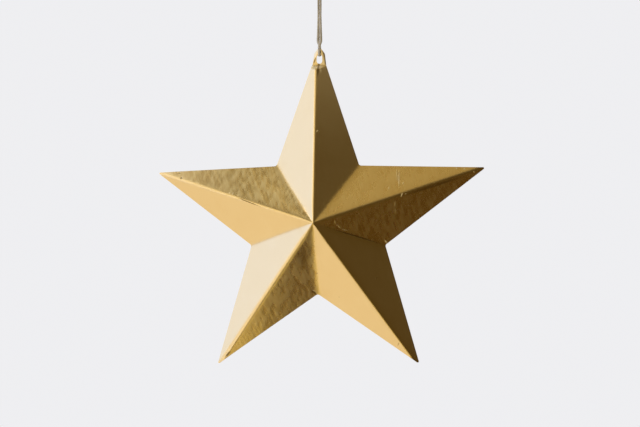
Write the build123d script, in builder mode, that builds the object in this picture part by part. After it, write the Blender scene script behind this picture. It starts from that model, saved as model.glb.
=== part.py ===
"""A five-armed star folded from one sheet of card, hung on a doubled string.

Millimetres, +Z up, the star's raised face towards -Y. The origin is where a hook bears, at the top
inside the hanging loop, and the star hangs straight below it.
"""

import os
from math import acos, atan2, cos, hypot, radians, sin, tan

from build123d import *

# The folded sheet
arm_count = 5
tip_radius = 79.0  # from the star's axis to the corner of an arm before it is blunted
notch_radius = 31.8  # from the star's axis to the corner between two arms
relief = 22.0  # the raised centre stands this far before the tips
sheet_thickness = 0.4
ridge_fold_radius = 1.3  # folds are sharp at the centre and open to these radii at the tips' depth
valley_fold_radius = 0.9
tip_round = 0.45
notch_round = 1.2
arm_length_shares = (1.02, 1.0, 0.983, 1.003, 0.982)  # hand cut, clockwise from the top arm
arm_bearing_shifts = (0.0, -0.35, 0.3, 0.0, -0.7)  # hand folded, in degrees of clockwise turn
section_depth_share = 1.4  # of the relief, the depth at which the folds are set out

# The top tip, pressed flat round a punched hole that the string has drawn out upwards
hole_radius = 1.3
hole_stretch = 1.6  # from the centre of the hole's lower end to the centre of its upper end
hole_inset = 7.28  # the lower centre below the corner that the top arm's edges run to
hole_margin = 0.5  # flat card below the hole
press_crease_length = 2.6  # the slope that runs from the ridge down to the pressed face
press_setback = 0.9  # the pressed face lies this far behind the tips
tab_shoulder_width = 4.9
tab_shoulder_rise = 3.3  # above the hole's lower centre
tab_shoulder_round = 2.0
tab_end_rise = 6.6  # above the hole's lower centre
tab_end_round = 1.0

# The string
string_diameter = 1.0
string_clearance = 0.1  # from the card that it passes
strand_rise = 34.0  # from the hole's lower centre to the knot
knot_diameter = 4.4
knot_end_diameter = 3.2
knot_height = 4.4
loop_height = 16.0  # from the knot to the inside of the loop's top
loop_width = 7.4  # between the centrelines of the loop's legs
loop_foot_gap = 0.3  # between the loop's two feet on the knot
loop_shoulder_share = 0.55  # of the loop's height, where its legs turn upright
arc_run_share = 0.45  # of the shorter run beside it, which an arc takes up

cut_overrun = 5.0

# The fold angles of one flat sheet: each facet keeps its share of the full turn at the centre
facet_turn = radians(180 / arm_count)
ridge_slope = atan2(relief, tip_radius)
turn_reach = hypot(cos(facet_turn) * cos(ridge_slope), sin(ridge_slope))
turn_phase = atan2(sin(ridge_slope), cos(facet_turn) * cos(ridge_slope))
valley_slope = turn_phase + acos(cos(facet_turn) / turn_reach)
notch_level = relief - notch_radius * tan(valley_slope)

# One facet, with X along its ridge and Z forward from the plane of the tips
centre_point = Vector(0, 0, relief)
tip_point = Vector(tip_radius, 0, 0)
notch_point = Vector(notch_radius * cos(facet_turn), notch_radius * sin(facet_turn), notch_level)
facet_normal = (tip_point - centre_point).cross(notch_point - centre_point).normalized()
sheet_setback = sheet_thickness / facet_normal.Z

# The cut edge stands square to its facet, so it leans outwards as it comes forward
edge_normal = (notch_point - tip_point).cross(facet_normal).normalized()
tip_lean = -edge_normal.Z / edge_normal.X
notch_lean = -edge_normal.Z / (edge_normal.X * cos(facet_turn) + edge_normal.Y * sin(facet_turn))

# Heights down the string, which hangs in the middle of the pressed card's thickness
top_reach = tip_radius * arm_length_shares[0]
hole_height = top_reach - hole_inset
string_radius = string_diameter / 2
knot_top = -loop_height
knot_bottom = knot_top - knot_height
hole_z = knot_bottom - strand_rise
star_z = hole_z - hole_height
press_level = -press_setback
press_middle = press_level - sheet_setback / 2

# The star's own plane: X to the right, Y up, and Z forward from the plane of the tips
star_plane = Plane(origin=(0, press_middle, star_z), x_dir=(1, 0, 0), z_dir=(0, -1, 0))


def arm_bearing(arm):
    """The turn from the top arm's nominal place to an arm's ridge, clockwise seen from the front."""
    return 2 * facet_turn * arm + radians(arm_bearing_shifts[arm % arm_count])


def star_corners(tip_radii, notch_size):
    """The corners of a star outline, tips and notches in turn, clockwise from the top tip."""
    corners = []
    for arm, tip_size in enumerate(tip_radii):
        bearing = arm_bearing(arm)
        corners.append((tip_size * sin(bearing), tip_size * cos(bearing)))
        bearing = (bearing + arm_bearing(arm + 1)) / 2
        corners.append((notch_size * sin(bearing), notch_size * cos(bearing)))
    return corners


def ridge_level(reach):
    """How far forward a ridge stands at a distance from the star's axis."""
    return relief - reach * tan(ridge_slope)


def edge_corners(level):
    """The corners of the cut edge's outline at a level before the tips."""
    tip_radii = []
    for share in arm_length_shares:
        reach = tip_radius * share
        tip_radii.append(reach + tip_lean * (level - ridge_level(reach)))
    return star_corners(tip_radii, notch_radius + notch_lean * (level - notch_level))


def top_arm_half_width(height):
    """Half the top arm's width at a height above the star's axis."""
    return notch_point.Y * (top_reach - height) / (top_reach - notch_point.X)


def arc_radii(route):
    """The radius at each inner point of a string's route, as large as its two runs allow."""
    radii = []
    for before, point, after in zip(route, route[1:], route[2:]):
        arriving = Vector(*point) - Vector(*before)
        leaving = Vector(*after) - Vector(*point)
        half_turn = radians(arriving.get_angle(leaving)) / 2
        radii.append(arc_run_share * min(arriving.length, leaving.length) / tan(half_turn))
    return radii


# The folded face as a block: flat facets and rounded folds, all running to the centre
section_depth = section_depth_share * relief
section_tips = [section_depth / tan(ridge_slope)] * arm_count
section_notch = section_depth / tan(valley_slope)
with BuildSketch(star_plane.offset(relief - section_depth)) as fold_section:
    with BuildLine():
        Polyline(*star_corners(section_tips, section_notch), close=True)
    make_face()
    fold_corners = fold_section.vertices().sort_by_distance((0, 0))
    fillet(fold_corners[:arm_count], valley_fold_radius * section_depth_share)
    fillet(fold_corners[arm_count:], ridge_fold_radius * section_depth_share)

# The press that flattens the top tip, seen from the side: a slope off the ridge, then a flat
press_start = hole_height - hole_radius - hole_margin
crease_start = press_start - press_crease_length
press_end = hole_height + tab_end_rise + cut_overrun
press_front = ridge_level(crease_start) + cut_overrun
side_plane = Plane(origin=star_plane.origin, x_dir=(0, 0, 1), z_dir=(1, 0, 0))
star_centre = star_plane.from_local_coords((0, 0, relief))
with BuildPart() as folded_block:
    loft([fold_section.sketch.face(), Vertex(*star_centre)])
    with BuildSketch(side_plane):
        with BuildLine():
            Polyline(
                (crease_start, ridge_level(crease_start)),
                (press_start, press_level),
                (press_end, press_level),
                (press_end, press_front),
                (crease_start, press_front),
                close=True,
            )
        make_face()
    extrude(amount=notch_radius, both=True, mode=Mode.SUBTRACT)

# What the sheet is cut to: five arms with edges square to the sheet, and the rounded top tab
back_level = press_level - cut_overrun
with BuildPart() as cut_outline:
    for level in (back_level, relief + cut_overrun):
        with BuildSketch(star_plane.offset(level)) as level_outline:
            with BuildLine():
                Polyline(*edge_corners(level), close=True)
            make_face()
            outline_corners = level_outline.vertices().sort_by_distance((0, 0))
            fillet(outline_corners[:arm_count], notch_round)
            fillet(outline_corners[arm_count:], tip_round)
    loft(ruled=True)
    with BuildSketch(star_plane.offset(back_level)) as tab_outline:
        with BuildLine():
            tab_side = Polyline(
                (0, hole_height + tab_end_rise),
                (tab_shoulder_width / 2, hole_height + tab_shoulder_rise),
                (top_arm_half_width(press_start), press_start),
                (top_arm_half_width(crease_start), crease_start),
                (0, crease_start),
            )
            mirror(tab_side, about=Plane.YZ)
        make_face()
        tab_corners = tab_outline.vertices().sort_by(Axis.Y)
        fillet(tab_corners[-3:-1], tab_shoulder_round)
        fillet(tab_outline.vertices().sort_by(Axis.Y)[-1], tab_end_round)
    extrude(amount=press_front - back_level)

# The star: a sheet of even thickness behind the folded face, cut out and punched
with BuildPart() as folded_star:
    add(folded_block.part)
    add(folded_block.part.moved(Location((0, sheet_setback, 0))), mode=Mode.SUBTRACT)
    add(cut_outline.part, mode=Mode.INTERSECT)
    with BuildSketch(star_plane.offset(back_level)):
        with Locations((0, hole_height + hole_stretch / 2)):
            SlotCenterToCenter(hole_stretch, 2 * hole_radius, rotation=90)
    extrude(amount=cut_overrun, mode=Mode.SUBTRACT)

# The string, doubled round the hole's upper edge: one strand rises before the card, one behind
strand_z = hole_z + hole_stretch + hole_radius - string_clearance - string_radius
strand_offset = sheet_setback / 2 + string_clearance + string_radius
edge_bend_radius = string_radius + sheet_setback / 2
front_route = [
    (0, 0, strand_z),
    (0, -strand_offset, strand_z),
    (0, -strand_offset, knot_bottom),
]
with BuildPart() as front_strand:
    with BuildLine() as front_path:
        FilletPolyline(*front_route, radius=edge_bend_radius)
    with BuildSketch(Plane(origin=front_path.line @ 0, z_dir=front_path.line % 0)):
        Circle(string_radius)
    sweep()

with BuildPart() as back_strand:
    mirror(front_strand.part, about=Plane.XZ)

# The knot that ties the two strands
with BuildPart() as top_knot:
    with BuildSketch(Plane.XZ):
        with BuildLine():
            knot_side = ThreePointArc(
                (knot_end_diameter / 2, knot_bottom),
                (knot_diameter / 2, knot_bottom + knot_height / 2),
                (knot_end_diameter / 2, knot_top),
            )
            Polyline(knot_side @ 1, (0, knot_top), (0, knot_bottom), knot_side @ 0)
        make_face()
    revolve(axis=Axis.Z)

# The loop above the knot, cut level where its feet stand on the knot
loop_foot = string_radius + loop_foot_gap / 2
loop_side = loop_width / 2
loop_shoulder_z = knot_top + loop_height * loop_shoulder_share
loop_route = [
    (-loop_foot, 0, knot_top - string_radius),
    (-loop_side, 0, loop_shoulder_z),
    (-loop_side, 0, string_radius),
    (loop_side, 0, string_radius),
    (loop_side, 0, loop_shoulder_z),
    (loop_foot, 0, knot_top - string_radius),
]
loop_radii = arc_radii(loop_route)
with BuildPart() as hanging_loop:
    with BuildLine() as loop_path:
        FilletPolyline(*loop_route, radius=loop_radii)
    with BuildSketch(Plane(origin=loop_path.line @ 0, z_dir=loop_path.line % 0)):
        Circle(string_radius)
    sweep()
    split(bisect_by=Plane.XY.offset(knot_top), keep=Keep.TOP)

print("string bends, mm:", [round(radius, 2) for radius in (edge_bend_radius, *loop_radii)])

os.makedirs("parts", exist_ok=True)
pieces = {
    "folded_star": folded_star,
    "front_strand": front_strand,
    "back_strand": back_strand,
    "top_knot": top_knot,
    "hanging_loop": hanging_loop,
}
for name, piece in pieces.items():
    piece.part.label = name
    export_step(piece.part, f"parts/{name}.step")
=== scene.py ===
from math import acos, atan2, ceil, cos, hypot, pi, radians, sin, sqrt, tan
from typing import NamedTuple

import bpy
import numpy as np
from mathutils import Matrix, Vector
from mathutils.geometry import delaunay_2d_cdt


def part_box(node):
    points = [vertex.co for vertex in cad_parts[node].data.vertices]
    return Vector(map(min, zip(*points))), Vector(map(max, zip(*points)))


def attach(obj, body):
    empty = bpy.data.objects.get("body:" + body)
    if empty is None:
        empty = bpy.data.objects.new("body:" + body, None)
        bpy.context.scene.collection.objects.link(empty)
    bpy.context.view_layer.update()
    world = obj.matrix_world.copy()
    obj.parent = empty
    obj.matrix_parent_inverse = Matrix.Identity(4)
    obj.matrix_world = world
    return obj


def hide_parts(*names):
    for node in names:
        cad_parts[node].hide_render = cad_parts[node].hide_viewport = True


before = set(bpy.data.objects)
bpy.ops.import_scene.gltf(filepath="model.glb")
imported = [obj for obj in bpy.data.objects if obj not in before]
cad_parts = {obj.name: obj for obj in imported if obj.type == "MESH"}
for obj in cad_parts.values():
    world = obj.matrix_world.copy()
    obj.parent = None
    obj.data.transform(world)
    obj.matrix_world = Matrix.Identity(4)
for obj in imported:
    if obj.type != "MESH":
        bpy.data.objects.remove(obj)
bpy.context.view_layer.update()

# Metres, +Z up, the star's raised face towards -Y, the origin inside the top of the hanging loop.
# Star coordinates are u to the right, v up and w forward from the plane of the tips.
# A facet is named by its arm, clockwise from the top, and by the side of the ridge it lies on:
# 1 is clockwise of the ridge and -1 is the other way.

# The folded sheet, as the solids have it
arm_count = 5
tip_radius = 0.0790
notch_radius = 0.0318
relief = 0.0220
sheet_thickness = 0.0004
tip_round = 0.00045
notch_round = 0.0012
arm_length_shares = (1.02, 1.0, 0.983, 1.003, 0.982)
arm_bearing_shifts = (0.0, -0.35, 0.3, 0.0, -0.7)  # degrees of clockwise turn
star_height = -0.1277  # the star's axis

# How the folds lie: sharp at the centre, opening over a run, and slacker towards some of the tips
ridge_leans = (-0.95, -0.40, 0.70, -0.40, 0.0)  # degrees clockwise off the middle of the arm
ridge_softness = (0.00070, 0.00060, 0.00055, 0.00070, 0.00048)
valley_softness = 0.00090
crease_softness = 0.00020
fold_taper = 0.0080
# By arm: the side of a flattened strip, how far aside it cuts the ridge, and its slope as a share
ridge_strips = {0: (1, 0.00045, 0.20), 3: (1, 0.00080, 0.15)}
# By facet: the share of its fall to the side that it has lost at the tip
relaxed_shares = {(0, 1): 0.12, (3, -1): 0.45, (4, 1): 0.42}

# The pressed top tip: its hole, the flat round it and the two sides that still lean back
hole_radius = 0.0013
hole_stretch = 0.0016
hole_inset = 0.00728
hole_margin = 0.0005
press_crease_length = 0.0026
press_setback = 0.0009
tab_shoulder_width = 0.0049
tab_shoulder_rise = 0.0033
tab_shoulder_round = 0.0020
tab_end_rise = 0.0066
tab_end_round = 0.0010
tab_base_round = 0.0005
tab_creases = {-1: (0.0011, 0.39), 1: (0.0018, 0.20)}  # by side: distance from the middle, and lean
tab_crease_rise = 0.0033  # above the hole's lower centre, where that distance is taken
tab_foot_margin = 0.0008  # below the press, where its soft crease has run out

# The string: two strands that turn side by side, their knot, and the loop above it
string_diameter = 0.0010
strand_foot = -0.0521
strand_depth = 0.00084
twist_start = -0.0479
twist_run = 0.0035
twist_radius = 0.00050
twist_pitch = 0.0180
twist_sway = radians(22)
foot_spread_share = 0.5
spread_top = -0.0340
ply_count = 3
ply_pitch = 0.0036
ply_depth_share = 0.10
knot_bottom = -0.0204
knot_top = -0.0160
knot_turns = 3.6
knot_radius = 0.0016
knot_end_share = 0.92  # of the radius, at the knot's two ends
loop_route = [
    (-0.00065, 0, -0.0165),
    (-0.0037, 0, -0.0072),
    (-0.0037, 0, 0.0005),
    (0.0037, 0, 0.0005),
    (0.0037, 0, -0.0072),
    (0.00065, 0, -0.0165),
]

# What follows from these
facet_turn = pi / arm_count
ridge_slope = atan2(relief, tip_radius)
turn_reach = hypot(cos(facet_turn) * cos(ridge_slope), sin(ridge_slope))
turn_phase = atan2(sin(ridge_slope), cos(facet_turn) * cos(ridge_slope))
valley_slope = turn_phase + acos(cos(facet_turn) / turn_reach)
ridge_fall = tan(ridge_slope)
side_fall = (tan(valley_slope) - ridge_fall * cos(facet_turn)) / sin(facet_turn)
top_reach = tip_radius * arm_length_shares[0]
hole_height = top_reach - hole_inset
press_start = hole_height - hole_radius - hole_margin
crease_start = press_start - press_crease_length
tab_foot = crease_start - tab_foot_margin
star_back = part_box("folded_star")[0].y + relief

# How finely the pieces are divided
mesh_spacing = 0.0009
rim_spacing = 0.00045
tab_spacing = 0.00030
fold_offsets = (0.0003, 0.0006, 0.0010, 0.0015)
hole_steps = 36
arc_steps = 4  # at least, round each corner
arc_step = radians(14)
merge_distance = 1e-7
inside_outline = 1  # the triangulation's output that leaves out what lies past the outline
route_resolution = 24
yarn_sides = 15
yarn_spacing = 0.00025
yarn_start = (0.3, 0.5, 0.8)  # no cord sets out this way, so its first ring can be turned from it
knot_steps = 140
floor_steps = 64

# Wear on the foil, painted highlights and painted shade, as star points from and to, a width and a
# strength
# pale marks: real wear, and painted highlights below the hole and on the nick
pale_marks_and_highlights = (
    # lifted foil above the crack on the left arm's ridge
    ((-0.0396, 0.0132), (-0.0388, 0.0141), 0.0006, 0.6),
    ((-0.0379, 0.0127), (-0.0373, 0.0139), 0.0006, 0.7),
    ((-0.0356, 0.0121), (-0.0347, 0.0129), 0.0006, 0.5),
    # scuffs on the right arm
    ((0.0354, 0.0252), (0.0360, 0.0172), 0.0005, 0.45),
    ((0.0364, 0.0252), (0.0369, 0.0145), 0.0005, 0.55),
    ((0.0323, 0.0147), (0.0326, 0.0163), 0.0007, 0.45),
    ((0.0385, 0.0170), (0.0387, 0.0184), 0.0006, 0.45),
    ((0.0376, 0.0113), (0.0388, 0.0134), 0.0007, 0.85),
    ((0.0397, 0.0125), (0.0400, 0.0133), 0.0005, 0.6),
    ((0.0355, 0.0102), (0.0349, 0.0068), 0.0006, 0.40),
    ((0.0349, 0.0071), (0.0357, 0.0038), 0.0006, 0.30),
    ((0.0092, 0.0018), (0.0095, -0.0009), 0.0006, 0.40),
    ((0.0094, -0.0003), (0.0121, -0.0027), 0.0007, 0.45),
    ((0.0115, -0.0024), (0.0152, -0.0037), 0.0007, 0.40),
    ((0.0619, 0.0249), (0.0620, 0.0240), 0.0006, 0.7),
    ((0.0654, 0.0245), (0.0656, 0.0235), 0.0005, 0.5),
    ((0.0697, 0.0235), (0.0697, 0.0223), 0.0006, 0.6),
    # the torn corner between the right arm and the one below it
    ((0.0299, -0.0072), (0.0314, -0.0094), 0.0009, 0.9),
    # painted highlights: the pale slope below the hole, a pale streak right of its ridge, and the lit
    # side of a nick on the top arm's ridge
    ((-0.0040, 0.0692), (-0.0002, 0.0709), 0.0030, 0.90),
    ((0.0010, 0.0708), (0.0008, 0.0668), 0.0008, 0.60),
    ((0.0000, 0.0404), (0.0007, 0.0416), 0.0006, 0.7),
)
# dark marks: real specks and a crack, and painted shade in creases, dents and the nick
dark_marks_and_shade = (
    # the crack on the left arm's ridge with a painted shadow in it, and painted shade in the dents near
    # that arm's tip
    ((-0.0364, 0.0118), (-0.0234, 0.0068), 0.0006, 0.95),
    ((-0.0634, 0.0203), (-0.0619, 0.0207), 0.0012, 0.75),
    ((-0.0644, 0.0228), (-0.0628, 0.0227), 0.0008, 0.6),
    # painted shade in the creases along folds and at their ends, and on the shaded side of the nick
    ((-0.0024, -0.0300), (-0.0002, -0.0322), 0.0012, 0.75),
    ((0.0060, -0.0020), (0.0300, -0.0097), 0.0010, 0.65),
    ((0.0005, 0.0404), (0.0014, 0.0414), 0.0006, 0.7),
    ((-0.0001, 0.0762), (-0.0002, 0.0646), 0.0014, 0.80),
    ((-0.0015, 0.0753), (-0.0028, 0.0716), 0.0010, 0.80),
    ((-0.0432, -0.0612), (-0.0396, -0.0572), 0.0010, 0.55),
    ((0.0357, -0.0551), (0.0365, -0.0531), 0.0007, 0.45),
    # darker along the lower side of the right arm's ridge
    ((0.0352, 0.0110), (0.0685, 0.0220), 0.0016, 0.45),
    # specks
    ((0.0002, -0.0229), (0.0004, -0.0221), 0.0005, 0.6),
    ((0.0097, -0.0334), (0.0098, -0.0328), 0.0005, 0.4),
)
painted_shade_casts = (
    # painted shade on the lower left arm's rubbed facet, next to the centre
    ((-0.0005, -0.0030), (-0.0075, -0.0215), 0.0130, 0.76),
)
mark_core_share = 0.35  # of a mark's size, over which it has its full strength

# How rubbed the foil is, by facet, and how much paler and duller it goes towards some of the tips,
# partly as wear and partly as a painted highlight
rubbed_shares = {(4, 1): 1.0, (3, -1): 0.50, (1, 1): 0.8, (1, -1): 0.25}
smooth_share = 0.05  # on the other facets
ridge_smooth_width = 0.0009
wear_and_highlight_shares = {(0, 1): 0.36, (4, 1): 0.42}
dull_start = 0.0300
dull_end = 0.0780

# Colours
gold_light = (0.88, 0.705, 0.395)
gold_plain = (0.83, 0.640, 0.325)
gold_deep = (0.76, 0.550, 0.245)
gold_dark = (0.20, 0.125, 0.045)
gold_pale = (0.95, 0.83, 0.55)
reverse_ivory = (0.82, 0.77, 0.66)
reverse_shade = (0.72, 0.66, 0.54)
edge_buff = (0.80, 0.70, 0.50)
edge_shade = (0.62, 0.50, 0.30)
yarn_dark = (0.44, 0.41, 0.36)
yarn_plain = (0.70, 0.67, 0.60)
yarn_pale = (0.80, 0.77, 0.70)
floor_plain = (0.80, 0.80, 0.81)
floor_pale = (0.84, 0.84, 0.85)
floor_glow = (0.18, 0.18, 0.20)

# Surfaces: how rough they are, how strongly their patterns show and how deep their relief is
foil_roughness = 0.3
leaf_roughness = (0.24, 0.32)  # from the leaf's hollows to its crests
leaf_swing = 0.15
tone_swing = 0.16
streak_strength = 0.8
cast_strength = (0.3, 0.55)  # from smooth foil to rubbed foil
pale_roughness = 0.3
pale_metal = 0.20
wobble_depth = 0.0003
cloud_depth = 0.00012
leaf_depth = 0.00014
grain_depth = 0.000006
mark_depth = 0.00010
card_roughness = 0.85
fibre_roughness = (0.74, 0.94)  # from the card's hollows to its fibres
card_tones = (0.36, 0.64)
fibre_tones = (0.3, 0.7)
fibre_depth = 0.00005
yarn_roughness = 0.9
hair_tones = (0.32, 0.66)
hair_depth = 0.00006
slub_tones = (0.50, 0.72)
slub_strength = 0.5
yarn_sheen = 0.25
yarn_sheen_roughness = 0.5
floor_roughness = 0.7

# The camera: its place in degrees round the star, its lens in millimetres and its shift as shares
camera_azimuth = 7.13
camera_elevation = -0.38
camera_distance = 0.853
camera_sensor = 36
camera_lens = 106.40
camera_shift_shares = (0.00134, 0.01510)
camera_near = 0.01
camera_far = 20

# The light: soft lamps round the star, a dim room and a pale background
lamp_distance = 1.4
lamps = {
    # name: azimuth and elevation in degrees, width and height, and how bright its face is
    "left": (-76, 11, 1.45, 1.45, (0.96, 1.12, 1.74)),
    "low_left": (-64, -42, 1.25, 1.25, (0.94, 0.84, 0.71)),
    "high_left": (-95, 62, 1.30, 1.30, (0.60, 0.60, 0.50)),
    "top": (18, 72, 1.00, 1.00, (0.325, 0.25, 0.10)),
    "low_front": (-5, -53, 0.70, 0.70, (0.66, 0.54, 0.22)),
    "low_right": (52, -46, 0.90, 0.90, (0.024, 0.009, 0.002)),
    "front_left": (-25, 12, 1.45, 1.98, (1.00, 0.88, 0.60)),
    "back_left": (-140, 20, 1.80, 1.80, (0.95, 0.95, 0.95)),
    "back_right": (125, 20, 2.00, 2.00, (0.90, 0.90, 0.90)),
    "back": (175, 0, 1.70, 1.70, (0.95, 0.95, 0.95)),
}
dim_low = (0.080, 0.050, 0.011)
dim_high = (0.110, 0.080, 0.034)
dim_rise_share = 0.8  # of the way up, where the room is lightest
pale_background = (0.86, 0.86, 0.88)
pale_start_share = 0.25  # of the way back, where mirrored rays begin to meet the background
pale_full_share = 0.60
floor_radius = 0.8
floor_height = -1.75


class Pattern(NamedTuple):
    """Noise with features of a size, drawn out upright by a stretch and leaning right by degrees."""

    size: float
    stretch: float = 1.0
    lean: float = 0.0
    detail: float = 2.0
    roughness: float = 0.5


# The patterns on each surface
foil_blades = Pattern(0.0013, stretch=4.4, lean=-22, detail=0.4)
foil_leaves = Pattern(0.0018, stretch=3.8, lean=22, detail=0.4)
foil_streaks = Pattern(0.0007, stretch=7.0, lean=-18)
foil_clouds = Pattern(0.0080)
foil_patches = Pattern(0.0260)
foil_grain = Pattern(0.0005)
mark_wobble = Pattern(0.0012)
card_fibres = Pattern(0.0006, stretch=3.0, lean=35, detail=6.0, roughness=0.7)
card_blotches = Pattern(0.012, detail=4.0)
yarn_hairs = Pattern(0.00016, stretch=3.0, lean=25, detail=5.0, roughness=0.7)
yarn_slubs = Pattern(0.0022, detail=3.0)
floor_mottle = Pattern(0.06, detail=3.0)


def to_world(u, v, w):
    """A star point in the shared frame."""
    return Vector((u, star_back - w, star_height + v))


def bearing_point(reach, bearing):
    """A star point at a reach from the axis and a bearing clockwise from the top arm."""
    return np.array((reach * sin(bearing), reach * cos(bearing)))


def arm_bearing(arm):
    """The bearing of an arm's middle line, which its tip lies on."""
    return 2 * facet_turn * arm + radians(arm_bearing_shifts[arm % arm_count])


def corner_bearing(corner):
    """The bearing of an outline corner: even ones are tips, and odd ones are the notches midway."""
    return (arm_bearing(corner // 2) + arm_bearing((corner + 1) // 2)) / 2


def ridge_bearing(arm):
    """The bearing of an arm's ridge fold, which may lie off the middle of the arm."""
    return arm_bearing(arm) + radians(ridge_leans[arm % arm_count])


def crease_bearing(fold):
    """The bearing that a fold lies along: even ones are ridges, and odd ones the valleys midway."""
    return (ridge_bearing(fold // 2) + ridge_bearing((fold + 1) // 2)) / 2


def fold_axes(u, v, bearing):
    """How far star points lie along a bearing, and across it on its clockwise side."""
    return u * sin(bearing) + v * cos(bearing), u * cos(bearing) - v * sin(bearing)


def facet_places(u, v):
    """Each star point's arm, and how far it lies along that arm's ridge and across it."""
    axes = np.array([fold_axes(u, v, ridge_bearing(arm)) for arm in range(arm_count)])
    arms = axes[:, 0].argmax(axis=0)
    places = axes[arms, :, np.arange(len(arms))]
    return arms, places[:, 0], places[:, 1]


def soft_positive(value, softness):
    """A value above zero and nothing below, with the corner between them rounded."""
    return (value + np.sqrt(value**2 + softness**2)) / 2


def ridge_profile(arm, across, softness):
    """How far aside of a ridge points count as lying: rounded over the fold, or flattened beside it."""
    if arm not in ridge_strips:
        return np.sqrt(across**2 + (ridge_softness[arm] * softness) ** 2)
    side, cut, slope = ridge_strips[arm]
    aside = across * side
    near = soft_positive(aside + cut * softness / (1 + slope), crease_softness * softness)
    far = soft_positive(aside - cut * softness / (1 - slope), ridge_softness[arm] * softness)
    return (1 + slope) * near + (1 - slope) * far - aside


def face_level(u, v):
    """How far forward the folded face stands at star points, with its folds softened."""
    reach = np.hypot(u, v)
    softness = np.minimum(reach / fold_taper, 1.0)
    roofs = []
    for arm in range(arm_count):
        along, across = fold_axes(u, v, ridge_bearing(arm))
        roof = relief - ridge_fall * along - side_fall * ridge_profile(arm, across, softness)
        for (relaxed_arm, side), share in relaxed_shares.items():
            if relaxed_arm == arm:
                slack = side_fall * share * np.clip(along / tip_radius, 0, 1) ** 2
                roof = roof + slack * soft_positive(across * side, crease_softness)
        roofs.append(np.where(along >= reach * cos(2 * facet_turn), roof, -relief))
    roofs = np.sort(np.array(roofs), axis=0)
    level = roofs[-2] + soft_positive(roofs[-1] - roofs[-2], valley_softness * softness)
    # The press slopes off the ridge to a flat behind the tips, with sides that lean back
    slope = (relief - ridge_fall * crease_start + press_setback) / press_crease_length
    press = slope * soft_positive(press_start - v, crease_softness / slope) - press_setback
    for side, (offset, lean) in tab_creases.items():
        crease = offset + lean * (hole_height + tab_crease_rise - v)
        press = press - side_fall * soft_positive(side * u - crease, crease_softness) * (v > press_start)
    level = np.where(v > press_start, relief, level)
    return np.where(v > tab_foot, level - soft_positive(level - press, crease_softness), level)


def rounded_outline(corners, spacing):
    """Points along a closed outline of (u, v, corner radius), its straight runs divided evenly."""
    spans = []
    for index, (u, v, radius) in enumerate(corners):
        corner = np.array((u, v))
        before = np.array(corners[index - 1][:2]) - corner
        after = np.array(corners[(index + 1) % len(corners)][:2]) - corner
        before /= np.linalg.norm(before)
        after /= np.linalg.norm(after)
        half = acos(np.clip(before @ after, -1, 1)) / 2
        setback = radius / tan(half)
        middle = (before + after) / np.linalg.norm(before + after)
        centre = corner + middle * radius / sin(half)
        spans.append((corner + before * setback, corner + after * setback, centre, half))
    points = []
    for index, (start, end, centre, half) in enumerate(spans):
        sweep = pi - 2 * half
        steps = max(arc_steps, ceil(sweep / arc_step))
        for step in range(steps + 1):
            turn = sweep * step / steps
            blend = (sin(sweep - turn) * (start - centre) + sin(turn) * (end - centre)) / sin(sweep)
            points.append(centre + blend)
        following = spans[(index + 1) % len(spans)][0]
        pieces = max(1, round(np.linalg.norm(following - end) / spacing))
        points += [end + (following - end) * piece / pieces for piece in range(1, pieces)]
    return points


def star_outline(spacing):
    """The cut outline of the sheet, clockwise from the end of the top tab."""
    notch = bearing_point(notch_radius, facet_turn)
    base = notch[0] * (top_reach - press_start) / (top_reach - notch[1])
    shoulder = hole_height + tab_shoulder_rise
    right_side = [
        (tab_shoulder_width / 2, shoulder, tab_shoulder_round),
        (base, press_start, tab_base_round),
    ]
    corners = [(0, hole_height + tab_end_rise, tab_end_round), *right_side]
    for corner in range(1, 2 * arm_count):
        if corner % 2:
            corners.append((*bearing_point(notch_radius, corner_bearing(corner)), notch_round))
        else:
            reach = tip_radius * arm_length_shares[corner // 2]
            corners.append((*bearing_point(reach, corner_bearing(corner)), tip_round))
    corners += [(-u, v, radius) for u, v, radius in reversed(right_side)]
    return rounded_outline(corners, spacing)


def hole_outline():
    """The outline of the punched hole, drawn out upwards."""
    points = []
    for step in range(hole_steps):
        turn = 2 * pi * (step + 0.5) / hole_steps
        centre = hole_height + (hole_stretch if cos(turn) > 0 else 0)
        points.append(bearing_point(hole_radius, turn) + (0, centre))
    return points


def inside(points, outline):
    """Which points lie inside a closed outline."""
    found = np.zeros(len(points), bool)
    ring = np.array(outline)
    for (u0, v0), (u1, v1) in zip(ring, np.roll(ring, -1, axis=0)):
        if v0 != v1:
            spans = (v0 > points[:, 1]) != (v1 > points[:, 1])
            found ^= spans & (points[:, 0] < u0 + (points[:, 1] - v0) * (u1 - u0) / (v1 - v0))
    return found


def fold_rows():
    """Rows of star points along the ridges and valleys, and at small offsets beside them."""
    rows = [(0.0, 0.0)]
    for fold in range(2 * arm_count):
        bearing = crease_bearing(fold)
        reach = notch_radius if fold % 2 else tip_radius * arm_length_shares[fold // 2]
        if fold == 0:
            reach = tab_foot
        for side in (0, *fold_offsets, *(-offset for offset in fold_offsets)):
            start = mesh_spacing / 2 + abs(side) / tan(facet_turn / 2)
            for along in np.linspace(start, reach, max(2, round((reach - start) / mesh_spacing))):
                ahead = bearing_point(along, bearing)
                rows.append(ahead + side * np.array((cos(bearing), -sin(bearing))))
    return np.array(rows)


def fold_distance(points):
    """Each star point's distance from the nearest fold line."""
    nearest = np.full(len(points), np.inf)
    for fold in range(2 * arm_count):
        along, across = fold_axes(points[:, 0], points[:, 1], crease_bearing(fold))
        nearest = np.where(along > 0, np.minimum(nearest, np.abs(across)), nearest)
    return nearest


def ring_distance(points, ring):
    """Each star point's distance from the nearest point of a ring of points."""
    return np.array([np.hypot(*(np.array(ring) - point).T).min() for point in points])


def star_grid(low, high, spacing):
    """A triangular grid of star points over the sheet's width, between two heights."""
    points = []
    for index, v in enumerate(np.arange(low, high, spacing * sqrt(3) / 2)):
        shift = spacing / 2 * (index % 2)
        points += [(u + shift, v) for u in np.arange(-top_reach, top_reach, spacing)]
    return np.array(points)


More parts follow.
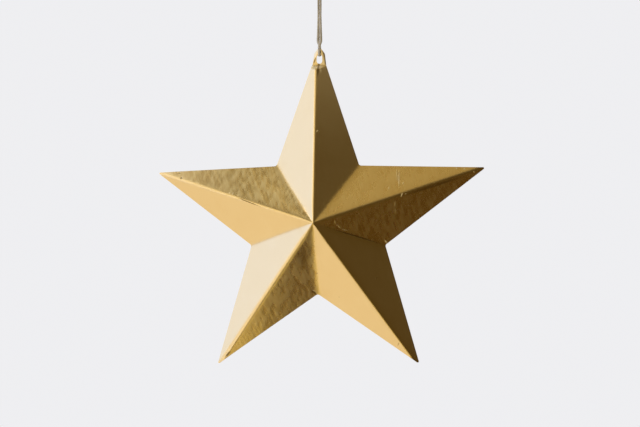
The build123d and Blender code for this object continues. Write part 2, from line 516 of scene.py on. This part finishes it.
def sheet_plan():
    """The sheet laid out in star coordinates: its points, and the triangles between them."""
    outline = star_outline(rim_spacing)
    hole = hole_outline()
    arms = star_grid(-top_reach, tab_foot, mesh_spacing)
    arms = np.vstack((arms[fold_distance(arms) > fold_offsets[-1] + mesh_spacing / 2], fold_rows()))
    arms = arms[inside(arms, outline)]
    arms = arms[ring_distance(arms, outline) > rim_spacing]
    tab = star_grid(tab_foot, top_reach, tab_spacing)
    tab = tab[inside(tab, outline) & ~inside(tab, hole)]
    tab = tab[ring_distance(tab, outline + hole) > tab_spacing / 2]
    points = [*outline, *hole, *arms, *tab]
    loops = []
    first = 0
    for loop in (outline, hole):
        loops += [(first + k, first + (k + 1) % len(loop)) for k in range(len(loop))]
        first += len(loop)
    flat = [Vector((float(u), float(v))) for u, v in points]
    found, _, triangles, _, _, _ = delaunay_2d_cdt(flat, loops, [], inside_outline, merge_distance)
    plan = np.array([tuple(point) for point in found])
    middles = np.array([plan[list(triangle)].mean(axis=0) for triangle in triangles])
    punched = inside(middles, hole)
    kept = [tuple(triangle) for triangle, gone in zip(triangles, punched) if not gone]
    return plan, kept


class Nodes:
    """A node tree in the making: nodes by short calls, each taking sockets or plain values."""

    def __init__(self, tree):
        self.tree = tree

    def node(self, kind, **inputs):
        """A node of a kind, with its inputs set or linked by name, spaces written as underscores."""
        node = self.tree.nodes.new("ShaderNode" + kind)
        for name, value in inputs.items():
            self.feed(node.inputs[name.replace("_", " ")], value)
        return node

    def feed(self, socket, value):
        """A socket set to a plain value, or linked if the value is a socket."""
        if isinstance(value, bpy.types.NodeSocket):
            self.tree.links.new(value, socket)
        else:
            socket.default_value = value

    def combine(self, operation, *values):
        """Values put together by a plain operation."""
        node = self.tree.nodes.new("ShaderNodeMath")
        node.operation = operation
        for socket, value in zip(node.inputs, values):
            self.feed(socket, value)
        return node.outputs["Value"]

    def combine_vectors(self, operation, *values):
        """Vectors put together by a plain operation: its vector and its value."""
        node = self.tree.nodes.new("ShaderNodeVectorMath")
        node.operation = operation
        for socket, value in zip(node.inputs, values):
            self.feed(socket, value)
        return node.outputs

    def span(self, value, low, high, out_low=0.0, out_high=1.0):
        """A value mapped smoothly from one range to another and held to it."""
        node = self.node("MapRange", Value=value)
        node.interpolation_type = "SMOOTHSTEP"
        names = ("From Min", "From Max", "To Min", "To Max")
        for name, number in zip(names, (low, high, out_low, out_high)):
            self.feed(node.inputs[name], number)
        return node.outputs["Result"]

    def blend(self, share, first, second):
        """Two colours mixed by a share. The mix node names its sockets alike for each kind of data."""
        node = self.tree.nodes.new("ShaderNodeMix")
        node.data_type = "RGBA"
        self.feed(node.inputs["Factor"], share)
        sockets = [socket for socket in node.inputs if socket.type == "RGBA"]
        for socket, colour in zip(sockets, (first, second)):
            self.feed(socket, colour if isinstance(colour, bpy.types.NodeSocket) else (*colour, 1))
        return next(socket for socket in node.outputs if socket.type == "RGBA")


class Recipe(Nodes):
    """A surface in the making."""

    def __init__(self, name, roughness, metallic=0.0):
        self.material = bpy.data.materials.new(name)
        self.material.use_nodes = True
        super().__init__(self.material.node_tree)
        self.shader = self.tree.nodes["Principled BSDF"]
        self.shader.inputs["Roughness"].default_value = roughness
        self.shader.inputs["Metallic"].default_value = metallic

    def place(self, stretch=1.0, lean=0.0):
        """Places on the piece in metres, for marks drawn out upright and leaning right by degrees."""
        mapping = self.node(
            "Mapping",
            Vector=self.node("TexCoord").outputs["Object"],
            Rotation=(0, radians(lean), 0),
            Scale=(1, stretch, stretch),
        )
        mapping.vector_type = "TEXTURE"
        return mapping.outputs["Vector"]

    def noise(self, pattern, output="Fac"):
        """A pattern's noise, as a share about 0.5 or, from its other output, a colour about grey."""
        found = self.node("TexNoise", Vector=self.place(pattern.stretch, pattern.lean))
        found.inputs["Scale"].default_value = 1 / pattern.size
        found.inputs["Detail"].default_value = pattern.detail
        found.inputs["Roughness"].default_value = pattern.roughness
        return found.outputs[output]

    def mean(self, first, second):
        """Two values' mean."""
        return self.combine("MULTIPLY", self.combine("ADD", first, second), 0.5)

    def swing(self, share):
        """A share about 0.5 as a value about zero."""
        return self.combine("SUBTRACT", share, 0.5)

    def wobble(self, pattern, depth):
        """Places on the piece, shifted to and fro by up to about half a depth."""
        grey = (0.5, 0.5, 0.5)
        shift = self.combine_vectors("SUBTRACT", self.noise(pattern, "Color"), grey)["Vector"]
        shift = self.combine_vectors("MULTIPLY", shift, (depth, depth, depth))["Vector"]
        return self.combine_vectors("ADD", self.place(), shift)["Vector"]

    def stroke(self, where, start, end, width, strength):
        """A tapered mark between two star points: its strength in the middle, nothing past its width."""
        (u0, v0), (u1, v1) = start, end
        middle = to_world((u0 + u1) / 2, (v0 + v1) / 2, 0)
        size = (width / 2, 1, hypot(u1 - u0, v1 - v0) / 2)
        mapping = self.node(
            "Mapping",
            Vector=where,
            Location=(middle.x, 0, middle.z),
            Rotation=(0, atan2(u1 - u0, v1 - v0), 0),
            Scale=size,
        )
        mapping.vector_type = "TEXTURE"
        aside = self.combine_vectors("LENGTH", mapping.outputs["Vector"])["Value"]
        return self.span(aside, mark_core_share, 1.0, strength, 0.0)

    def strokes(self, where, marks):
        """Many tapered marks together."""
        drawn = 0.0
        for mark in marks:
            drawn = self.combine("MAXIMUM", drawn, self.stroke(where, *mark))
        return drawn

    def measured(self, name):
        """A value kept on the mesh."""
        node = self.node("Attribute")
        node.attribute_name = name
        return node.outputs["Fac"]

    def bump(self, height, depth, under=None):
        """Relief from a height of 0 to 1 over a depth in metres."""
        node = self.node("Bump", Height=height, Distance=depth)
        if under is not None:
            self.feed(node.inputs["Normal"], under)
        return node.outputs["Normal"]

    def finish(self, **inputs):
        """The material, with the shader's own inputs set or linked."""
        for name, value in inputs.items():
            self.feed(self.shader.inputs[name.replace("_", " ")], value)
        return self.material


def gold_foil():
    """Satin gold foil on card: smooth on most facets, creased like leaf where it was rubbed, with worn
    marks, painted highlights and painted shade.
    """
    foil = Recipe("gold_foil", foil_roughness, metallic=1.0)
    rubbed = foil.measured("rubbed")
    clouds = foil.noise(foil_clouds)
    leaf = foil.swing(foil.mean(foil.noise(foil_blades), foil.noise(foil_leaves)))
    leaf = foil.combine("MULTIPLY", leaf, rubbed)
    cast = foil.swing(foil.mean(foil.noise(foil_patches), clouds))
    cast = foil.combine("MULTIPLY", cast, foil.span(rubbed, 0.0, 1.0, *cast_strength))
    streaks = foil.combine("MULTIPLY", foil.swing(foil.noise(foil_streaks)), rubbed)
    streaks = foil.combine("MULTIPLY", streaks, streak_strength)
    tone = foil.combine("ADD", foil.combine("ADD", cast, leaf), streaks)
    colour = foil.blend(foil.span(tone, -tone_swing, 0.0), gold_deep, gold_plain)
    colour = foil.blend(foil.span(tone, 0.0, tone_swing), colour, gold_light)
    where = foil.wobble(mark_wobble, wobble_depth)
    # pale wear and painted highlights, and the foil paling towards some tips
    pale = foil.combine("MAXIMUM", foil.strokes(where, pale_marks_and_highlights), foil.measured("wear_and_highlight"))
    # painted shade on a rubbed facet, then the dark marks with painted shade in creases, dents and the
    # crack
    dark = foil.combine("MULTIPLY", foil.strokes(where, painted_shade_casts), rubbed)
    dark = foil.combine("MAXIMUM", dark, foil.strokes(where, dark_marks_and_shade))
    colour = foil.blend(dark, foil.blend(pale, colour, gold_pale), gold_dark)
    rough = foil.span(leaf, -leaf_swing, leaf_swing, *leaf_roughness)
    rough = foil.combine("ADD", rough, foil.combine("MULTIPLY", pale, pale_roughness))
    normal = foil.bump(clouds, cloud_depth)
    normal = foil.bump(leaf, leaf_depth, under=normal)
    normal = foil.bump(foil.noise(foil_grain), grain_depth, under=normal)
    normal = foil.bump(foil.combine("SUBTRACT", pale, dark), mark_depth, under=normal)
    metal = foil.span(pale, 0.0, 1.0, 1.0, pale_metal)
    return foil.finish(Base_Color=colour, Roughness=rough, Metallic=metal, Normal=normal)


def bare_card(name, colour, shade):
    """Uncoated card: fibres, faint blotches and a dry, matt face."""
    card = Recipe(name, card_roughness)
    fibres = card.noise(card_fibres)
    tone = card.mean(fibres, card.noise(card_blotches))
    return card.finish(
        Base_Color=card.blend(card.span(tone, *card_tones), shade, colour),
        Roughness=card.span(fibres, *fibre_tones, *fibre_roughness),
        Normal=card.bump(fibres, fibre_depth),
    )


def string_yarn():
    """Grey-beige twine: fine hairs along the plies, and paler slubs."""
    yarn = Recipe("string_yarn", yarn_roughness)
    hairs = yarn.noise(yarn_hairs)
    slubs = yarn.span(yarn.noise(yarn_slubs), *slub_tones, 0.0, slub_strength)
    colour = yarn.blend(yarn.span(hairs, *hair_tones), yarn_dark, yarn_plain)
    return yarn.finish(
        Base_Color=yarn.blend(slubs, colour, yarn_pale),
        Normal=yarn.bump(hairs, hair_depth),
        Sheen_Weight=yarn_sheen,
        Sheen_Roughness=yarn_sheen_roughness,
    )


def pale_floor():
    """Plain pale floor paint with a faint mottle."""
    floor = Recipe("pale_floor", floor_roughness)
    return floor.finish(
        Base_Color=floor.blend(floor.noise(floor_mottle), floor_plain, floor_pale),
        Emission_Color=(*floor_glow, 1),
        Emission_Strength=floor.node("LightPath").outputs["Is Camera Ray"],
    )


def new_object(name, mesh, *materials):
    """A piece in the scene that carries a mesh and its materials."""
    piece = bpy.data.objects.new(name, mesh)
    bpy.context.scene.collection.objects.link(piece)
    for material in materials:
        mesh.materials.append(material)
    return piece


def dress(piece, node):
    """A piece set to ride with the part, in place of a node whose solid is hidden."""
    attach(piece, "root")
    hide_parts(node)


def face_normals(points, triangles):
    """The face's normal at each point, as an even sheet has it."""
    sheet = np.array(points)
    corners = sheet[np.array(triangles)]
    crosses = np.cross(corners[:, 1] - corners[:, 0], corners[:, 2] - corners[:, 0])
    normals = np.zeros_like(sheet)
    for corner in range(3):
        np.add.at(normals, np.array(triangles)[:, corner], crosses)
    return normals / np.linalg.norm(normals, axis=1)[:, None]


def rubbed_at(points):
    """How rubbed the foil is at star points: by facet, and less beside a ridge."""
    arms, _, across = facet_places(points[:, 0], points[:, 1])
    shares = []
    for arm, aside in zip(arms, across):
        share = rubbed_shares.get((arm, 1 if aside > 0 else -1), smooth_share)
        shares.append(share * np.clip((abs(aside) - ridge_smooth_width) / ridge_smooth_width, 0, 1))
    return shares


def wear_and_highlight_at(points):
    """How pale and dull the foil goes at star points: on some facets, more and more towards the tip,
    partly wear and partly a painted highlight.
    """
    arms, along, across = facet_places(points[:, 0], points[:, 1])
    shares = np.zeros(len(points))
    for (arm, side), share in wear_and_highlight_shares.items():
        beside = np.clip(across * side / ridge_smooth_width, 0, 1) * (arms == arm)
        shares += share * beside * np.clip((along - dull_start) / (dull_end - dull_start), 0, 1)
    return shares


def build_star():
    """The folded sheet with its thickness: a foil face, a bare reverse and a cut edge."""
    plan, triangles = sheet_plan()
    levels = face_level(plan[:, 0], plan[:, 1])
    front = np.array([to_world(u, v, w) for (u, v), w in zip(plan, levels)])
    normals = face_normals(front, triangles)
    if normals[:, 1].mean() > 0:
        triangles = [triangle[::-1] for triangle in triangles]
        normals = -normals
    count = len(front)
    back = front - normals * sheet_thickness
    sides = {(a, b) for triangle in triangles for a, b in zip(triangle, triangle[1:] + triangle[:1])}
    rim = [(a, b) for a, b in sorted(sides) if (b, a) not in sides]
    faces = [*triangles]
    faces += [tuple(k + count for k in reversed(triangle)) for triangle in triangles]
    faces += [(b, a, a + count, b + count) for a, b in rim]
    mesh = bpy.data.meshes.new("gold_star")
    mesh.from_pydata([tuple(point) for point in (*front, *back)], [], faces)
    mesh.update()
    slots = [0] * len(triangles) + [1] * len(triangles) + [2] * len(rim)
    mesh.polygons.foreach_set("material_index", slots)
    mesh.polygons.foreach_set("use_smooth", [True] * len(faces))
    rim_edges = {tuple(sorted(edge)) for edge in rim}
    rim_edges |= {tuple(sorted((a + count, b + count))) for a, b in rim}
    for edge in mesh.edges:
        edge.use_edge_sharp = tuple(sorted(edge.vertices)) in rim_edges
    for name, shares in (("rubbed", rubbed_at(plan)), ("wear_and_highlight", wear_and_highlight_at(plan))):
        mesh.attributes.new(name, "FLOAT", "POINT").data.foreach_set("value", [*shares, *shares])
    reverse = bare_card("card_reverse", reverse_ivory, reverse_shade)
    cut = bare_card("card_edge", edge_buff, edge_shade)
    dress(new_object("gold_star", mesh, gold_foil(), reverse, cut), "folded_star")


def route_points(name, route):
    """Points along the NURBS spline that has a cord's route as its control points."""
    curve = bpy.data.curves.new(name, "CURVE")
    curve.dimensions = "3D"
    curve.resolution_u = route_resolution
    spline = curve.splines.new("NURBS")
    spline.points.add(len(route) - 1)
    for point, place in zip(spline.points, route):
        point.co = (*place, 1)
    spline.order_u = 3
    spline.use_endpoint_u = True
    holder = bpy.data.objects.new(name, curve)
    line = bpy.data.meshes.new_from_object(holder)
    points = [vertex.co.copy() for vertex in line.vertices]
    bpy.data.objects.remove(holder)
    bpy.data.curves.remove(curve)
    bpy.data.meshes.remove(line)
    return points


def run_lengths(points):
    """How far each point of a line lies along it."""
    return np.concatenate(((0,), np.cumsum(np.hypot.reduce(np.diff(points, axis=0), axis=1))))


def even_points(points, spacing):
    """The same line with points at an even spacing."""
    line = np.array(points)
    reach = run_lengths(line)
    places = np.linspace(0, reach[-1], max(2, round(reach[-1] / spacing) + 1))
    return np.column_stack([np.interp(places, reach, line[:, axis]) for axis in range(3)])


def spread_at(height):
    """How much wider the string lies at a height: it is pressed out where it bears on the card."""
    return 1 + foot_spread_share * np.clip((spread_top - height) / (spread_top - strand_foot), 0, 1)


def yarn_mesh(name, points):
    """A plied yarn along a line: a closed tube with a lobe for each ply, turning as it goes."""
    tangents = np.gradient(points, axis=0)
    tangents /= np.linalg.norm(tangents, axis=1)[:, None]
    normal = np.cross(tangents[0], yarn_start)
    vertices = []
    for place, tangent, run in zip(points, tangents, run_lengths(points)):
        normal = normal - tangent * (normal @ tangent)
        normal /= np.linalg.norm(normal)
        binormal = np.cross(tangent, normal)
        twist = 2 * pi * run / ply_pitch
        for side in range(yarn_sides):
            turn = 2 * pi * side / yarn_sides
            lobe = 1 - ply_depth_share * (1 - abs(cos(ply_count / 2 * (turn - twist))))
            ring = (normal * cos(turn) + binormal * sin(turn)) * lobe * string_diameter / 2
            ring[0] *= spread_at(place[2])
            vertices.append(tuple(place + ring))
    faces = []
    for low in range(0, len(vertices) - yarn_sides, yarn_sides):
        for side in range(yarn_sides):
            nearby = (side + 1) % yarn_sides
            faces.append((low + side, low + nearby, low + yarn_sides + nearby, low + yarn_sides + side))
    faces.append(tuple(reversed(range(yarn_sides))))
    faces.append(tuple(range(len(vertices) - yarn_sides, len(vertices))))
    mesh = bpy.data.meshes.new(name)
    mesh.from_pydata(vertices, [], faces)
    mesh.polygons.foreach_set("use_smooth", [True] * len(faces))
    mesh.update()
    return mesh


def twisted_strand(side):
    """One strand of the doubled string: round the hole's upper edge, then turned beside the other."""
    route = [
        (0, 0, strand_foot),
        (0, -side * strand_depth, strand_foot),
        (0, -side * strand_depth, knot_bottom),
    ]
    moved = []
    for place in even_points(route_points("strand_route", route), yarn_spacing):
        rise = max(0.0, place[2] - twist_start)
        share = min(1.0, rise / twist_run)
        depth = abs(place[1]) * (1 - share) + twist_radius * share
        sway = twist_sway * sin(pi * max(0.0, rise - twist_run) / twist_pitch) ** 2
        turn = pi / 2 * sin(pi / 2 * share) ** 2 - sway
        aside = side * depth * sin(turn) * spread_at(place[2])
        moved.append((aside, -side * depth * cos(turn), place[2]))
    return np.array(moved)


def knot_coil():
    """The turns of the knot round the string, a little fuller at the middle."""
    low = knot_bottom + string_diameter / 2
    high = knot_top - string_diameter / 2
    coil = []
    for share in np.linspace(0, 1, knot_steps + 1):
        turn = 2 * pi * knot_turns * share
        reach = knot_radius * (knot_end_share + (1 - knot_end_share) * sin(pi * share))
        coil.append((reach * cos(turn), reach * sin(turn), low + (high - low) * share))
    return np.array(coil)


def build_string():
    """The doubled string, its knot and the loop it hangs by."""
    material = string_yarn()
    knot = new_object("string_knot", yarn_mesh("string_knot", knot_coil()), material)
    dress(knot, "top_knot")
    loop = even_points(route_points("loop", loop_route), yarn_spacing)
    cords = (
        ("front_string", "front_strand", twisted_strand(1), "taut", [knot]),
        ("back_string", "back_strand", twisted_strand(-1), "taut", []),
        ("string_loop", "hanging_loop", loop, "hanging", []),
    )
    for name, node, path, lay, carried in cords:
        cord = new_object(name, yarn_mesh(name, path), material)
        dress(cord, node)


def heading(azimuth, elevation):
    """The way from the star to a place round it, in degrees: azimuth 0 is the front and 90 the right."""
    turn = radians(azimuth)
    rise = radians(elevation)
    return Vector((sin(turn) * cos(rise), -cos(turn) * cos(rise), sin(rise)))


def set_round_star(name, data, azimuth, elevation, distance):
    """A camera or lamp set at a place round the star and aimed at it."""
    holder = bpy.data.objects.new(name, data)
    bpy.context.scene.collection.objects.link(holder)
    away = heading(azimuth, elevation)
    holder.location = to_world(0, 0, 0) + away * distance
    holder.rotation_mode = "QUATERNION"
    holder.rotation_quaternion = away.to_track_quat("Z", "Y")
    return holder


def build_camera():
    """The camera at the photograph's angle, on a 640 by 427 image."""
    camera = bpy.data.cameras.new("camera")
    camera.sensor_width = camera_sensor
    camera.lens = camera_lens
    camera.shift_x, camera.shift_y = camera_shift_shares
    camera.clip_start = camera_near
    camera.clip_end = camera_far
    holder = set_round_star("camera", camera, camera_azimuth, camera_elevation, camera_distance)
    bpy.context.scene.camera = holder


def area_lamp(name, azimuth, elevation, width, height, face):
    """A soft lamp round the star, aimed at it."""
    lamp = bpy.data.lights.new(name, "AREA")
    lamp.shape = "RECTANGLE"
    lamp.size = width
    lamp.size_y = height
    lamp.energy = max(face) * pi * width * height
    lamp.color = [part / max(face) for part in face]
    set_round_star(name, lamp, azimuth, elevation, lamp_distance).visible_camera = False


def studio_world():
    """A pale background for the camera and behind the star, and elsewhere a dim warm room."""
    world = bpy.data.worlds.new("studio")
    bpy.context.scene.world = world
    world.use_nodes = True
    nodes = Nodes(world.node_tree)
    rays = nodes.node("LightPath").outputs
    way = nodes.node("SeparateXYZ", Vector=nodes.node("TexCoord").outputs["Generated"]).outputs
    dim = nodes.tree.nodes["Background"]
    above = nodes.span(way["Z"], 0.0, dim_rise_share)
    nodes.feed(dim.inputs["Color"], nodes.blend(above, dim_low, dim_high))
    pale = nodes.node("Background", Color=(*pale_background, 1))
    behind = nodes.span(way["Y"], pale_start_share, pale_full_share)
    mirrored = nodes.combine("MAXIMUM", rays["Is Glossy Ray"], rays["Is Transmission Ray"])
    shown = nodes.combine("MULTIPLY_ADD", mirrored, behind, rays["Is Camera Ray"])
    mix = nodes.node("MixShader", Fac=shown)
    nodes.feed(mix.inputs[1], dim.outputs["Background"])
    nodes.feed(mix.inputs[2], pale.outputs["Background"])
    nodes.feed(nodes.tree.nodes["World Output"].inputs["Surface"], mix.outputs["Shader"])


def build_studio():
    """A plain pale floor, a pale background and soft lamps."""
    for name, facts in lamps.items():
        area_lamp(name, *facts)
    studio_world()
    turns = [2 * pi * step / floor_steps for step in range(floor_steps)]
    ring = [(*bearing_point(floor_radius, turn), floor_height) for turn in reversed(turns)]
    mesh = bpy.data.meshes.new("floor")
    mesh.from_pydata(ring, [], [tuple(range(floor_steps))])
    new_object("floor", mesh, pale_floor())


build_star()
build_string()
build_camera()
build_studio()
bpy.context.scene.view_settings.view_transform = "Standard"
